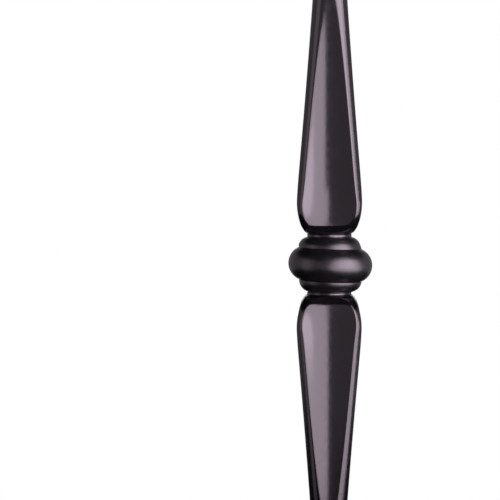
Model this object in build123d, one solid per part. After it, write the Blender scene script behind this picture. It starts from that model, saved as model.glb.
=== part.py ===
from build123d import *
import math
import os

os.makedirs("parts", exist_ok=True)

# Single knuckle baluster: one solid steel bar with a turned knuckle between two fluted flares.
# The bar stands along +Z and the origin is the centre of its bottom end face. One flute of
# each flare faces -Y. "Reach" is a distance along the bar from the knuckle's middle plane.

# Bar
overall_length = 1117.6
bar_diameter = 14.29
end_chamfer = 0.6
knuckle_height = 592.0

# Knuckle: a large bead round the middle of a collar with rounded ends. As on the photographed
# piece, it sits a little low between the flares, the bead leans, and the bead and the lower
# half of the collar stand a little towards +X.
knuckle_drop = 0.15
bead_diameter = 35.3
bead_thickness = 14.7
bead_lean = 2.8
bead_offset = 0.4
collar_diameter = 26.3
collar_length = 23.3
collar_round = 4.85
lower_collar_offset = 0.5

# Neck between the collar and each flare, rounded where it rises to the shoulder
neck_diameter = 18.6
neck_rise = 0.45
neck_rise_length = 1.0

# Flare: a round shoulder, then a straight taper down to the bar
shoulder_diameter = 35.4
shoulder_crown = 9.0
shoulder_reach = 25.4
shoulder_half_length = 12.5
flare_reach = 115.7
flare_blend_radius = 100.0

# Flutes: hollows round the flare. The floor is level under the shoulder and then falls in a
# straight line to the bar. At the crease it turns steeply inwards and ends in the neck.
flute_count = 4
flute_radius = 27.0
floor_under_shoulder = 11.35
floor_slope = 0.0516
floor_foot_reach = 113.0
floor_rounding = 0.1
tip_clearance = 0.03
crease_reach = 16.35
crease_radius = 66.0
crease_fade = 4.0
toe_clearance = 0.05
cutter_margin = 1.0
station_spacing = 12.0

# Sizes worked out from the ones above
bar_radius = bar_diameter / 2
bead_section_radius = bead_thickness / 2
bead_centre_radius = bead_diameter / 2 - bead_section_radius
collar_radius = collar_diameter / 2
neck_radius = neck_diameter / 2
shoulder_centre_radius = shoulder_diameter / 2 - shoulder_crown
cutter_reach_from_axis = shoulder_diameter / 2 + cutter_margin


def shoulder_start():
    """Where the neck's rise meets the round of the shoulder, as (radius, reach)."""
    radius = neck_radius + neck_rise
    share = (radius - shoulder_centre_radius) / shoulder_crown
    return radius, shoulder_reach - shoulder_half_length * math.sqrt(1 - share**2)


def neck_end():
    """Where the plain neck ends and its rise to the shoulder starts, as (radius, reach)."""
    return neck_radius, shoulder_start()[1] - neck_rise_length


def shoulder_tangent_angle():
    """Angle on the shoulder's ellipse, from its long axis, where the taper leaves it."""
    along = (flare_reach - shoulder_reach) / shoulder_half_length
    across = (bar_radius - shoulder_centre_radius) / shoulder_crown
    return math.atan2(across, along) + math.acos(1 / math.hypot(along, across))


def turned_half(end_reach):
    """One half of the bar without its collar, from the knuckle's middle plane up to an end."""
    angle = shoulder_tangent_angle()
    taper_start = (
        shoulder_centre_radius + shoulder_crown * math.sin(angle),
        shoulder_reach + shoulder_half_length * math.cos(angle),
    )
    taper_angle = math.atan2(taper_start[0] - bar_radius, flare_reach - taper_start[1])
    blend = flare_blend_radius * math.tan(taper_angle / 2)
    taper_end = (
        bar_radius + blend * math.sin(taper_angle),
        flare_reach - blend * math.cos(taper_angle),
    )
    shoulder_start_angle = -math.degrees(
        math.acos((shoulder_start()[0] - shoulder_centre_radius) / shoulder_crown)
    )
    with BuildPart() as half:
        with BuildSketch(Plane.XZ):
            with BuildLine():
                Polyline((0, end_reach), (0, 0), (neck_radius, 0), neck_end())
                TangentArc(neck_end(), shoulder_start(), tangent=(0, 1))
                EllipticalCenterArc(
                    (shoulder_centre_radius, shoulder_reach),
                    shoulder_crown,
                    shoulder_half_length,
                    start_angle=shoulder_start_angle,
                    arc_size=90 - math.degrees(angle) - shoulder_start_angle,
                )
                Line(taper_start, taper_end)
                TangentArc(
                    taper_end,
                    (bar_radius, flare_reach + blend),
                    tangent=(-math.sin(taper_angle), math.cos(taper_angle)),
                )
                Polyline(
                    (bar_radius, flare_reach + blend),
                    (bar_radius, end_reach - end_chamfer),
                    (bar_radius - end_chamfer, end_reach),
                    (0, end_reach),
                )
            make_face()
        revolve(axis=Axis.Z)
    return half.part


def rounded_meeting(first, second, side):
    """The larger of two values with side 1, or the smaller with -1, rounded where they cross."""
    return (first + second + side * math.hypot(first - second, 2 * floor_rounding)) / 2


def floor_from_axis(reach):
    """Distance from the bar's axis to the floor of a flute."""
    falling = bar_radius + floor_slope * (floor_foot_reach - reach)
    above_bar = rounded_meeting(falling, bar_radius + tip_clearance, 1)
    return rounded_meeting(above_bar, floor_under_shoulder, -1)


def hollow_radius(reach):
    """Radius of the hollow across a flute, which flattens towards the crease."""
    flatness = math.exp((crease_reach - reach) / crease_fade)
    return 1 / ((1 - flatness) / flute_radius + flatness / crease_radius)


def flute_section(reach, floor, radius):
    """Slice of what a flute takes away: the area between its hollow and a chord outside."""
    depth = cutter_reach_from_axis - floor
    half_chord = math.sqrt(radius**2 - (radius - depth) ** 2)
    left = (-half_chord, -cutter_reach_from_axis)
    right = (half_chord, -cutter_reach_from_axis)
    with BuildSketch(Plane.XY.offset(reach)) as section:
        with BuildLine():
            ThreePointArc(left, (0, -floor), right)
            Line(right, left)
        make_face()
    return section.sketch


def flute_cutter():
    """What one flute takes away: the long hollow, and the steep toe below the crease."""
    tip = 2 * flare_reach - floor_foot_reach + cutter_margin
    near_crease = [crease_reach, crease_reach + crease_fade / 2, crease_reach + crease_fade]
    steps = math.ceil((tip - shoulder_reach) / station_spacing)
    along_floor = [shoulder_reach + (tip - shoulder_reach) * i / steps for i in range(steps + 1)]
    hollow = loft(
        [flute_section(s, floor_from_axis(s), hollow_radius(s)) for s in near_crease + along_floor]
    )
    toe = loft(
        [
            flute_section(neck_end()[1], neck_radius + toe_clearance, crease_radius),
            flute_section(crease_reach, floor_from_axis(crease_reach), crease_radius),
        ],
        ruled=True,
    )
    return hollow + toe


def fluted_half(end_reach):
    """One half of the bar with its ring of flutes cut."""
    cutter = flute_cutter()
    cutters = [Rot(0, 0, 360 * i / flute_count) * cutter for i in range(flute_count)]
    return turned_half(end_reach) - cutters


def half_collar():
    """The upper half of the collar, with its rounded end."""
    half = Cylinder(
        collar_radius, collar_length / 2, align=(Align.CENTER, Align.CENTER, Align.MIN)
    )
    return fillet(half.edges().sort_by(Axis.Z)[-1], collar_round)


def knuckle():
    """The collar and its bead."""
    upper_collar = half_collar()
    lower_collar = Pos(lower_collar_offset, 0, 0) * mirror(half_collar(), about=Plane.XY)
    bead = (
        Pos(bead_offset, 0, 0)
        * Rot(0, bead_lean, 0)
        * Torus(bead_centre_radius, bead_section_radius)
    )
    return Pos(0, 0, -knuckle_drop) * (upper_collar + lower_collar + bead)


def make_baluster():
    """The whole bar, standing on the origin."""
    upper = fluted_half(overall_length - knuckle_height)
    lower = mirror(fluted_half(knuckle_height), about=Plane.XY)
    return Pos(0, 0, knuckle_height) * (upper + lower + knuckle())


baluster = make_baluster()
export_step(baluster, "parts/baluster.step")
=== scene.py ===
import math

import bpy
import numpy as np
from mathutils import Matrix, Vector


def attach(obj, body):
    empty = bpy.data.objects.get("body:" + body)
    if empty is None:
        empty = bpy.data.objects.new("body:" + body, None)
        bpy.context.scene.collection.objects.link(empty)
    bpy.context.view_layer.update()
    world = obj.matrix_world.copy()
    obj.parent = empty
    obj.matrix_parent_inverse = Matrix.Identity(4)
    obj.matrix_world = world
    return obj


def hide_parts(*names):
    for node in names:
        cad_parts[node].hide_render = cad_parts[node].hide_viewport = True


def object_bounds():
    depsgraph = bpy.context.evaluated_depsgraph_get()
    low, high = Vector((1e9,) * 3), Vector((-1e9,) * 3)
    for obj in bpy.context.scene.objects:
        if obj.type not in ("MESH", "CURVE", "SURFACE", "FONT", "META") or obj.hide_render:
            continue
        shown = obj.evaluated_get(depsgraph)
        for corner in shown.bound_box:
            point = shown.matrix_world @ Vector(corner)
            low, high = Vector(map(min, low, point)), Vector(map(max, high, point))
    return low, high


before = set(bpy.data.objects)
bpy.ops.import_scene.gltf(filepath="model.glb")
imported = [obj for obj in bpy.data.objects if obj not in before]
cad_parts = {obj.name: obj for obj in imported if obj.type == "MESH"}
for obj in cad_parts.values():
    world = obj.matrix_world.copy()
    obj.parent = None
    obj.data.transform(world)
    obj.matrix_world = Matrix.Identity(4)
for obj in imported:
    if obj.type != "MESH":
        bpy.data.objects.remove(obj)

solid_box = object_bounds()

# The baluster's sizes, in metres. "Reach" is a distance along the bar from the knuckle's
# middle plane, and "radius" is a distance from the bar's axis.
BAR_TOP = solid_box[1].z
KNUCKLE_HEIGHT = 0.592
BAR_RADIUS = 0.007145
END_CHAMFER = 0.0006
KNUCKLE_DROP = 0.00015
BEAD_RADIUS = 0.01765
BEAD_SECTION = 0.00735
BEAD_LEAN = math.radians(2.8)
BEAD_OFFSET = 0.0004
COLLAR_RADIUS = 0.01315
COLLAR_HALF_LENGTH = 0.01165
COLLAR_ROUND = 0.00485
LOWER_COLLAR_OFFSET = 0.0005
NECK_RADIUS = 0.0093
NECK_RISE = 0.00045
NECK_RISE_LENGTH = 0.001
SHOULDER_RADIUS = 0.0177
SHOULDER_CROWN = 0.009
SHOULDER_REACH = 0.0254
SHOULDER_HALF_LENGTH = 0.0125
FLARE_REACH = 0.1157
FLARE_BLEND = 0.1
FLUTES = 4
FLUTE_RADIUS = 0.027
FLOOR_UNDER_SHOULDER = 0.01135
FLOOR_SLOPE = 0.0516
FLOOR_FOOT_REACH = 0.113
FLOOR_ROUNDING = 0.0001
TIP_CLEARANCE = 0.00003
CREASE_REACH = 0.01635
CREASE_RADIUS = 0.066
CREASE_FADE = 0.004
TOE_CLEARANCE = 0.00005
CUTTER_MARGIN = 0.001

# Places worked out from the sizes
BEAD_CENTRE = BEAD_RADIUS - BEAD_SECTION
GROOVE_REACH = math.sqrt(BEAD_SECTION**2 - (COLLAR_RADIUS - BEAD_CENTRE) ** 2)
COLLAR_ROUND_REACH = COLLAR_HALF_LENGTH - COLLAR_ROUND
COLLAR_END_DROP = NECK_RADIUS - COLLAR_RADIUS + COLLAR_ROUND
COLLAR_END_REACH = COLLAR_ROUND_REACH + math.sqrt(COLLAR_ROUND**2 - COLLAR_END_DROP**2)
CROWN_CENTRE = SHOULDER_RADIUS - SHOULDER_CROWN
CROWN_START = -math.acos((NECK_RADIUS + NECK_RISE - CROWN_CENTRE) / SHOULDER_CROWN)
SHOULDER_START_REACH = SHOULDER_REACH + SHOULDER_HALF_LENGTH * math.sin(CROWN_START)
TOE_REACH = SHOULDER_START_REACH - NECK_RISE_LENGTH
TOE_FLOOR = NECK_RADIUS + TOE_CLEARANCE
TIP_REACH = 2 * FLARE_REACH - FLOOR_FOOT_REACH + CUTTER_MARGIN

# How the coat softens the steel's corners and edges
CORNER_SOFTNESS = 0.0002
EDGE_ROUNDING = 0.0002
CREASE_ROUNDING = 0.00005
TIP_FADE = 0.008
GROOVE_BLEND = 0.0015

# The knuckle's coat is rougher by this much, and the difference fades between two reaches.
KNUCKLE_ROUGHNESS = 0.17
ROUGH_KNUCKLE_REACH = (0.0105, 0.0130)

# How finely the coated surface is divided. Its flutes start a little past the toe's foot, so
# that no sliver is left there.
FLUTE_START_REACH = TOE_REACH + 0.0003
OUTLINE_STEP = 0.00005
MEASURING_POINTS = 500
FEWEST_POINTS = 9
RING_OFFSETS = np.array([-5, -3, -1.6, -0.6, 0.6, 1.6, 3, 5]) * 0.0001
CLOSEST_RINGS = 0.00003
COLUMNS_IN_HALF_FLUTE = 12
COLUMNS_IN_HALF_RIDGE = 10
COLUMN_CROWDING = 1.8
NARROWEST_FLUTE = math.radians(5)

# Camera, at the photograph's angle: a long lens that frames the knuckle and both flares
VIEW_WIDTH = 0.2105
LENS = 120
SENSOR = 36
CAMERA_ELEVATION = math.radians(3.1)
AIM = Vector((-0.0334, 0, KNUCKLE_HEIGHT + 0.0057))


# The turned outline

def line(start, end):
    """A straight stretch of the outline, as a function of the shares along it."""
    start, end = np.array(start), np.array(end)
    return lambda shares: start + (end - start) * shares[:, None]


def arc(centre, across, along, start, end):
    """A round stretch: part of an ellipse with half axes across and along the bar."""
    def points(shares):
        angle = start + (end - start) * shares
        return np.stack(
            [centre[0] + across * np.cos(angle), centre[1] + along * np.sin(angle)], axis=1
        )
    return points


def outline_stretches(end_reach):
    """The outline from the bead's edge to the end's centre: its stretches as (radius, reach),
    each with the number of rings that the surface gets there."""
    groove = math.asin(GROOVE_REACH / BEAD_SECTION)
    round_centre = (COLLAR_RADIUS - COLLAR_ROUND, COLLAR_ROUND_REACH)
    round_end = math.acos(COLLAR_END_DROP / COLLAR_ROUND)
    neck_bend = (NECK_RISE_LENGTH**2 + NECK_RISE**2) / (2 * NECK_RISE)
    neck_turn = math.asin(NECK_RISE_LENGTH / neck_bend)

    along = (FLARE_REACH - SHOULDER_REACH) / SHOULDER_HALF_LENGTH
    across = (BAR_RADIUS - CROWN_CENTRE) / SHOULDER_CROWN
    crown_end = math.atan2(along, across) - math.acos(1 / math.hypot(along, across))
    taper_start = (
        CROWN_CENTRE + SHOULDER_CROWN * math.cos(crown_end),
        SHOULDER_REACH + SHOULDER_HALF_LENGTH * math.sin(crown_end),
    )
    slope = math.atan2(taper_start[0] - BAR_RADIUS, FLARE_REACH - taper_start[1])
    blend = FLARE_BLEND * math.tan(slope / 2)
    taper_end = (BAR_RADIUS + blend * math.sin(slope), FLARE_REACH - blend * math.cos(slope))
    blend_centre = (BAR_RADIUS + FLARE_BLEND, FLARE_REACH + blend)
    blend_end = (BAR_RADIUS, blend_centre[1])

    chamfer_start = (BAR_RADIUS, end_reach - END_CHAMFER)
    chamfer_end = (BAR_RADIUS - END_CHAMFER, end_reach)
    shoulder = arc(
        (CROWN_CENTRE, SHOULDER_REACH), SHOULDER_CROWN, SHOULDER_HALF_LENGTH, CROWN_START, crown_end
    )
    return [
        (arc((BEAD_CENTRE, 0), BEAD_SECTION, BEAD_SECTION, 0, groove), 16),
        (line((COLLAR_RADIUS, GROOVE_REACH), (COLLAR_RADIUS, COLLAR_ROUND_REACH)), 1),
        (arc(round_centre, COLLAR_ROUND, COLLAR_ROUND, 0, round_end), 14),
        (line((NECK_RADIUS, COLLAR_END_REACH), (NECK_RADIUS, TOE_REACH)), 1),
        (arc((NECK_RADIUS + neck_bend, TOE_REACH), -neck_bend, neck_bend, 0, neck_turn), 4),
        (shoulder, 60),
        (line(taper_start, taper_end), 50),
        (arc(blend_centre, -FLARE_BLEND, -FLARE_BLEND, slope, 0), 14),
        (line(blend_end, chamfer_start), 10),
        (line(chamfer_start, chamfer_end), 2),
        (line(chamfer_end, (0, end_reach)), 4),
    ]


def lengths_along(points):
    """The length along a chain of points, up to each of them."""
    return np.concatenate([[0], np.cumsum(np.linalg.norm(np.diff(points, axis=0), axis=1))])


def half_outline(end_reach):
    """Close points of one half of the outline, and the lengths along it where rings go."""
    points, rings, start = [np.array([[BEAD_RADIUS, 0]])], [], 0
    for stretch, count in outline_stretches(end_reach):
        span = lengths_along(stretch(np.linspace(0, 1, MEASURING_POINTS)))[-1]
        fine = stretch(np.linspace(0, 1, max(FEWEST_POINTS, round(span / OUTLINE_STEP))))
        at_ring = np.linspace(0, len(fine) - 1, count + 1)
        rings.append(start + np.interp(at_ring, np.arange(len(fine)), lengths_along(fine)))
        points.append(fine[1:])
        start += lengths_along(fine)[-1]
    points = np.concatenate(points)
    flare = points[:, 1] > COLLAR_HALF_LENGTH
    crease = np.interp(CREASE_REACH, points[flare, 1], lengths_along(points)[flare])
    corners = [stretch_rings[-1] for stretch_rings in rings[:-1]] + [crease]
    near_corners = (np.array(corners)[:, None] + RING_OFFSETS).ravel()
    return points, np.concatenate(rings + [near_corners])


def whole_outline():
    """Radius and signed reach of every ring, from the bottom face to the top face, with the
    outline's corners softened."""
    lower, lower_rings = half_outline(KNUCKLE_HEIGHT)
    upper, upper_rings = half_outline(BAR_TOP - KNUCKLE_HEIGHT)
    points = np.concatenate([lower[:0:-1] * (1, -1), upper])
    length = lengths_along(points)
    middle = length[len(lower) - 1]
    rings = np.unique(np.concatenate([middle - lower_rings, middle + upper_rings]))
    rings = rings[np.diff(rings, prepend=-1) > CLOSEST_RINGS]
    even = np.arange(0, length[-1], OUTLINE_STEP)

    # A bell curve softens the corners. It is cut off at four times its width.
    reach_of_blur = round(4 * CORNER_SOFTNESS / OUTLINE_STEP)
    offsets = np.arange(-reach_of_blur, reach_of_blur + 1) * OUTLINE_STEP
    weights = np.exp(-0.5 * (offsets / CORNER_SOFTNESS) ** 2)
    softened = [
        np.convolve(
            np.pad(np.interp(even, length, values), reach_of_blur, mode="edge"),
            weights / weights.sum(),
            mode="valid",
        )
        for values in points.T
    ]
    return np.interp(rings, even, softened[0]), np.interp(rings, even, softened[1])


# The flutes

def rounded_meeting(first, second, side, rounding):
    """The larger of two values with side 1, or the smaller with -1, rounded where they cross."""
    return (first + second + side * np.hypot(first - second, 2 * rounding)) / 2


def flute_floor(reach):
    """Distance from the axis to a flute's floor, and the radius of the hollow across it."""
    falling = BAR_RADIUS + FLOOR_SLOPE * (FLOOR_FOOT_REACH - reach)
    above_bar = rounded_meeting(falling, BAR_RADIUS + TIP_CLEARANCE, 1, FLOOR_ROUNDING)
    hollow = rounded_meeting(above_bar, FLOOR_UNDER_SHOULDER, -1, FLOOR_ROUNDING)
    at_crease = hollow[np.argmin(abs(reach - CREASE_REACH))]
    climb = (reach - TOE_REACH) / (CREASE_REACH - TOE_REACH)
    toe = TOE_FLOOR + (at_crease - TOE_FLOOR) * climb
    floor = rounded_meeting(hollow, toe, -1, CREASE_ROUNDING)

    flatness = np.exp(np.minimum(CREASE_REACH - reach, 0) / CREASE_FADE)
    return floor, 1 / ((1 - flatness) / FLUTE_RADIUS + flatness / CREASE_RADIUS)


def flute_half_angle(radius, floor, hollow):
    """The angle round the bar from a flute's middle to its edge."""
    edge = (radius**2 + floor**2 + 2 * floor * hollow) / (2 * (floor + hollow))
    return np.arccos(np.clip(edge / radius, -1, 1))


def radius_of_hollow(angle, floor, hollow):
    """Distance from the axis to a flute's hollow, at an angle from the flute's middle."""
    centre = floor + hollow
    inside = hollow**2 - (centre * np.sin(angle)) ** 2
    return np.where(inside > 0, centre * np.cos(angle) - np.sqrt(np.maximum(inside, 0)), np.inf)


def crowded(count):
    """Shares from 0 to 1 that crowd towards 1."""
    return 1 - (1 - np.linspace(0, 1, count + 1)) ** COLUMN_CROWDING


# The coated surface

def baluster_points():
    """Points of the surface as an array of rings by columns, with the end faces' centres."""
    radius, reach = whole_outline()
    away = abs(reach)
    floor, hollow = flute_floor(away)
    fluted = (away > FLUTE_START_REACH) & (away < TIP_REACH)
    edge_angle = np.where(fluted, flute_half_angle(radius, floor, hollow), 0)
    edge_angle = np.maximum(edge_angle, NARROWEST_FLUTE)[:, None]
    half_pitch = math.pi / FLUTES
    in_flute = crowded(COLUMNS_IN_HALF_FLUTE)[None, :] * edge_angle
    on_ridge = edge_angle + (half_pitch - edge_angle) * (1 - crowded(COLUMNS_IN_HALF_RIDGE)[::-1])
    half = np.concatenate([in_flute, on_ridge[:, 1:]], axis=1)
    from_middle = np.concatenate([-half[:, :0:-1], half[:, :-1]], axis=1)

    cut = radius_of_hollow(from_middle, floor[:, None], hollow[:, None])
    rounding = EDGE_ROUNDING * np.clip((TIP_REACH - away) / TIP_FADE, 0, 1)[:, None]
    plain = np.repeat(radius[:, None], from_middle.shape[1], axis=1)
    use = fluted[:, None] & np.isfinite(cut)
    cut = np.where(use, cut, plain)
    fluted_radius = np.where(use, rounded_meeting(plain, cut, -1, rounding), plain)

    angle = np.concatenate(
        [from_middle - math.pi / 2 + i * 2 * half_pitch for i in range(FLUTES)], axis=1
    )
    around = np.tile(fluted_radius, FLUTES)
    return with_uneven_knuckle(around * np.cos(angle), around * np.sin(angle), reach[:, None])


def with_uneven_knuckle(x, y, reach):
    """The surface with the knuckle a little low, its bead leaning and its bead and lower
    collar a little to one side."""
    away = abs(reach)
    blend = GROOVE_REACH + GROOVE_BLEND
    on_bead = np.interp(away, (GROOVE_REACH, blend), (1, 0))
    on_knuckle = np.interp(away, (COLLAR_END_REACH, TOE_REACH), (1, 0))
    aside = np.interp(
        reach,
        (-TOE_REACH, -COLLAR_END_REACH, -blend, -GROOVE_REACH, GROOVE_REACH, blend),
        (0, LOWER_COLLAR_OFFSET, LOWER_COLLAR_OFFSET, BEAD_OFFSET, BEAD_OFFSET, 0),
    )
    lean = BEAD_CENTRE * math.sin(BEAD_LEAN) * x / np.hypot(x, y)
    height = KNUCKLE_HEIGHT + reach - KNUCKLE_DROP * on_knuckle - lean * on_bead
    return np.stack(np.broadcast_arrays(x + aside, y, height), axis=2)


def make_baluster():
    """The baluster as one closed surface of rings, with a fan at each end."""
    points = baluster_points()[1:-1]
    rings, columns = points.shape[:2]
    count = rings * columns
    ends = [(0, 0, 0), (0, 0, BAR_TOP)]
    index = np.arange(count).reshape(rings, columns)
    after = np.roll(index, -1, axis=1)
    walls = np.stack([index[:-1], after[:-1], after[1:], index[1:]], axis=2).reshape(-1, 4)
    faces = walls.tolist()
    faces += [(count, after[0, i], index[0, i]) for i in range(columns)]
    faces += [(count + 1, index[-1, i], after[-1, i]) for i in range(columns)]
    mesh = bpy.data.meshes.new("baluster")
    mesh.from_pydata(points.reshape(-1, 3).tolist() + ends, [], faces)
    mesh.validate()
    mesh.shade_smooth()
    baluster = bpy.data.objects.new("coated_baluster", mesh)
    bpy.context.scene.collection.objects.link(baluster)
    return baluster


# Nodes

def nodes_of(owner):
    """The empty node tree of a material or a world, ready for nodes."""
    owner.use_nodes = True
    owner.node_tree.nodes.clear()
    return owner.node_tree


def powder_coat():
    """Satin black powder coat: fine orange peel, smoother on the pressed flares than on the
    turned knuckle."""
    material = bpy.data.materials.new("powder_coat")
    tree = nodes_of(material)
    node, link = tree.nodes.new, tree.links.new
    place = node("ShaderNodeTexCoord")
    split = node("ShaderNodeSeparateXYZ")
    link(place.outputs["Object"], split.inputs[0])

    above = node("ShaderNodeMath")
    above.operation = "SUBTRACT"
    link(split.outputs["Z"], above.inputs[0])
    above.inputs[1].default_value = KNUCKLE_HEIGHT
    away = node("ShaderNodeMath")
    away.operation = "ABSOLUTE"
    link(above.outputs[0], away.inputs[0])
    knuckle = node("ShaderNodeMapRange")
    knuckle.interpolation_type = "SMOOTHSTEP"
    link(away.outputs[0], knuckle.inputs["Value"])
    knuckle.inputs["From Min"].default_value = ROUGH_KNUCKLE_REACH[0]
    knuckle.inputs["From Max"].default_value = ROUGH_KNUCKLE_REACH[1]
    knuckle.inputs["To Min"].default_value = 1
    knuckle.inputs["To Max"].default_value = 0

    mottle = node("ShaderNodeTexNoise")
    link(place.outputs["Object"], mottle.inputs["Vector"])
    mottle.inputs["Scale"].default_value = 420
    mottle.inputs["Detail"].default_value = 3
    rough = node("ShaderNodeMapRange")
    link(mottle.outputs["Fac"], rough.inputs["Value"])
    rough.inputs["From Min"].default_value = 0.3
    rough.inputs["From Max"].default_value = 0.7
    rough.inputs["To Min"].default_value = 0.13
    rough.inputs["To Max"].default_value = 0.19
    rougher = node("ShaderNodeMath")
    rougher.operation = "MULTIPLY_ADD"
    link(knuckle.outputs[0], rougher.inputs[0])
    rougher.inputs[1].default_value = KNUCKLE_ROUGHNESS
    link(rough.outputs[0], rougher.inputs[2])

    colour = node("ShaderNodeMix")
    colour.data_type = "RGBA"
    link(mottle.outputs["Fac"], colour.inputs["Factor"])
    colour.inputs["A"].default_value = (0.0026, 0.0021, 0.0028, 1)
    colour.inputs["B"].default_value = (0.0038, 0.0031, 0.0041, 1)

    peel = node("ShaderNodeTexNoise")
    link(place.outputs["Object"], peel.inputs["Vector"])
    peel.inputs["Scale"].default_value = 1100
    peel.inputs["Detail"].default_value = 2
    bump = node("ShaderNodeBump")
    bump.inputs["Strength"].default_value = 1
    bump.inputs["Distance"].default_value = 0.000012
    link(peel.outputs["Fac"], bump.inputs["Height"])

    coat = node("ShaderNodeBsdfPrincipled")
    link(colour.outputs["Result"], coat.inputs["Base Color"])
    link(rougher.outputs[0], coat.inputs["Roughness"])
    link(bump.outputs[0], coat.inputs["Normal"])
    coat.inputs["IOR"].default_value = 1.5
    coat.inputs["Specular IOR Level"].default_value = 0.93
    coat.inputs["Specular Tint"].default_value = (1, 0.83, 0.98, 1)
    out = node("ShaderNodeOutputMaterial")
    link(coat.outputs[0], out.inputs["Surface"])
    return material


def seen_directly(tree):
    """A value that is 1 for rays that show a surface: from the camera, or by gloss or glass."""
    node, link = tree.nodes.new, tree.links.new
    ray = node("ShaderNodeLightPath")
    value = ray.outputs["Is Camera Ray"]
    for name in ("Is Glossy Ray", "Is Transmission Ray"):
        either = node("ShaderNodeMath")
        either.operation = "MAXIMUM"
        link(value, either.inputs[0])
        link(ray.outputs[name], either.inputs[1])
        value = either.outputs[0]
    return value


# The studio

def white_surround(ambient):
    """A world that is white where it shows and gives a little even light."""
    world = bpy.data.worlds.new("surround")
    bpy.context.scene.world = world
    tree = nodes_of(world)
    node, link = tree.nodes.new, tree.links.new
    light = node("ShaderNodeBackground")
    light.inputs["Strength"].default_value = ambient
    white = node("ShaderNodeBackground")
    white.inputs["Strength"].default_value = 1
    for background in (light, white):
        background.inputs["Color"].default_value = (1, 1, 1, 1)
    mix = node("ShaderNodeMixShader")
    link(seen_directly(tree), mix.inputs["Fac"])
    link(light.outputs[0], mix.inputs[1])
    link(white.outputs[0], mix.inputs[2])
    out = node("ShaderNodeOutputWorld")
    link(mix.outputs[0], out.inputs["Surface"])


def toward(azimuth):
    """Level unit vector out from the bar: 0 degrees is towards the camera, 90 to its right."""
    angle = math.radians(azimuth)
    return Vector((math.sin(angle), -math.cos(angle), 0))


def soft_panel(name, azimuth, distance, width, height, middle, radiance):
    """An upright soft light panel that faces the bar's axis, with its middle at some height."""
    light = bpy.data.lights.new(name, "AREA")
    light.shape = "RECTANGLE"
    light.size = width
    light.size_y = height
    light.energy = radiance * math.pi * width * height
    panel = bpy.data.objects.new(name, light)
    out = toward(azimuth)
    panel.location = out * distance + Vector((0, 0, middle))
    panel.rotation_mode = "QUATERNION"
    panel.rotation_quaternion = (-out).to_track_quat("-Z", "Y")
    panel.visible_camera = False
    bpy.context.scene.collection.objects.link(panel)


def stage_mesh(name, vertices, faces, material):
    """An object of the stage, which isn't part of the baluster."""
    mesh = bpy.data.meshes.new(name)
    mesh.from_pydata(vertices, [], faces)
    mesh.materials.append(material)
    thing = bpy.data.objects.new(name, mesh)
    bpy.context.scene.collection.objects.link(thing)
    return thing


def cloth(name, glow):
    """A cloth of even brightness."""
    material = bpy.data.materials.new(name)
    tree = nodes_of(material)
    even = tree.nodes.new("ShaderNodeEmission")
    even.inputs["Strength"].default_value = glow
    out = tree.nodes.new("ShaderNodeOutputMaterial")
    tree.links.new(even.outputs[0], out.inputs["Surface"])
    return material


def dark_tent(radius, top, slot, glow):
    """A tent that only the gloss of the coat sees, with a dim wall and a black base and roof.
    Its wall is open in a slot straight behind the piece, some degrees wide, where the white
    surround shows."""
    steps = 72
    bottom = 0.003
    base_hole, roof_hole = 0.03, 0.001
    start, end = 180 + slot / 2, 540 - slot / 2
    around = [toward(start + (end - start) * i / steps) * radius for i in range(steps + 1)]
    wall_points = [(p.x, p.y, z) for z in (bottom, top) for p in around]
    wall = [(i, i + 1, i + 2 + steps, i + 1 + steps) for i in range(steps)]
    parts = [stage_mesh("tent_wall", wall_points, wall, cloth("dim_cloth", glow))]
    black = cloth("black_cloth", 0)
    turn = [toward(360 * i / steps) for i in range(steps)]
    ring = [(i, (i + 1) % steps, (i + 1) % steps + steps, i + steps) for i in range(steps)]
    for name, z, hole in (("tent_base", bottom, base_hole), ("tent_roof", top, roof_hole)):
        points = [(p.x * r, p.y * r, z) for r in (hole, radius) for p in turn]
        parts.append(stage_mesh(name, points, ring, black))
    for part in parts:
        part.visible_camera = False
        part.visible_diffuse = False
        part.visible_shadow = False
        part.visible_transmission = False
        part.visible_volume_scatter = False


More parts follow.
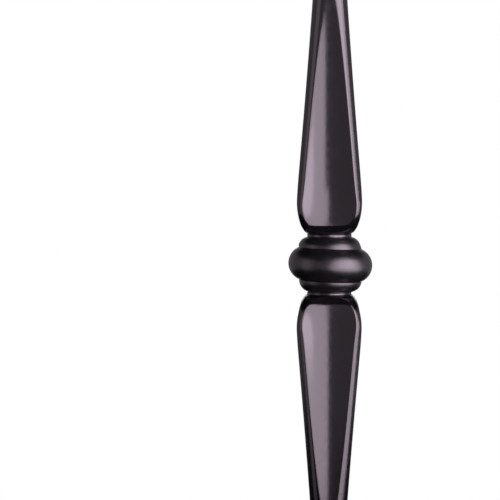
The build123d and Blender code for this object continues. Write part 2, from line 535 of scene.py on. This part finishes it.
def pale_floor(radius, pale_to, white_from):
    """A round floor that keeps the piece's shadow. It is pale up to a first distance from the
    piece and fades into the white surround up to a second."""
    material = bpy.data.materials.new("pale_floor")
    tree = nodes_of(material)
    node, link = tree.nodes.new, tree.links.new
    place = node("ShaderNodeTexCoord")
    distance = node("ShaderNodeVectorMath")
    distance.operation = "LENGTH"
    link(place.outputs["Object"], distance.inputs[0])
    fade = node("ShaderNodeMapRange")
    fade.interpolation_type = "SMOOTHSTEP"
    link(distance.outputs["Value"], fade.inputs["Value"])
    fade.inputs["From Min"].default_value = pale_to
    fade.inputs["From Max"].default_value = white_from
    blend = node("ShaderNodeMath")
    blend.operation = "MULTIPLY"
    link(fade.outputs[0], blend.inputs[0])
    link(seen_directly(tree), blend.inputs[1])
    matt = node("ShaderNodeBsdfDiffuse")
    matt.inputs["Color"].default_value = (0.82, 0.82, 0.82, 1)
    white = node("ShaderNodeEmission")
    white.inputs["Strength"].default_value = 1
    mix = node("ShaderNodeMixShader")
    link(blend.outputs[0], mix.inputs["Fac"])
    link(matt.outputs[0], mix.inputs[1])
    link(white.outputs[0], mix.inputs[2])
    out = node("ShaderNodeOutputMaterial")
    link(mix.outputs[0], out.inputs["Surface"])
    steps = 96
    rim = [toward(360 * i / steps) * radius for i in range(steps)]
    stage_mesh("floor", [(p.x, p.y, 0) for p in rim], [tuple(range(steps))], material)


def photograph_camera():
    """The camera that frames the knuckle as the photograph's close-up does."""
    camera = bpy.data.cameras.new("camera")
    camera.lens = LENS
    camera.sensor_width = SENSOR
    distance = VIEW_WIDTH * LENS / SENSOR
    stand = bpy.data.objects.new("camera", camera)
    stand.location = (
        0,
        -distance * math.cos(CAMERA_ELEVATION),
        AIM.z + distance * math.sin(CAMERA_ELEVATION),
    )
    stand.rotation_mode = "QUATERNION"
    stand.rotation_quaternion = (AIM - stand.location).to_track_quat("-Z", "Y")
    bpy.context.scene.collection.objects.link(stand)
    bpy.context.scene.camera = stand


bpy.context.scene.view_settings.view_transform = "Standard"
photograph_camera()
white_surround(ambient=0.2)
# The key light is wider below than above, and strongest along its middle.
soft_panel(
    "key_low", azimuth=45.3, distance=0.75, width=1.44, height=0.52, middle=0.40, radiance=3.2
)
soft_panel("key", azimuth=46.5, distance=0.75, width=1.23, height=0.52, middle=0.92, radiance=3.2)
soft_panel(
    "key_core", azimuth=49, distance=0.73, width=0.60, height=1.40, middle=1.08, radiance=2.0
)
soft_panel("fill", azimuth=-68, distance=0.9, width=0.5, height=1.0, middle=0.62, radiance=0.5)
dark_tent(radius=1.7, top=1.45, slot=20, glow=0.29)
pale_floor(radius=3.0, pale_to=0.105, white_from=0.7)

baluster = make_baluster()
baluster.data.materials.append(powder_coat())
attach(baluster, "root")
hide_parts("baluster")
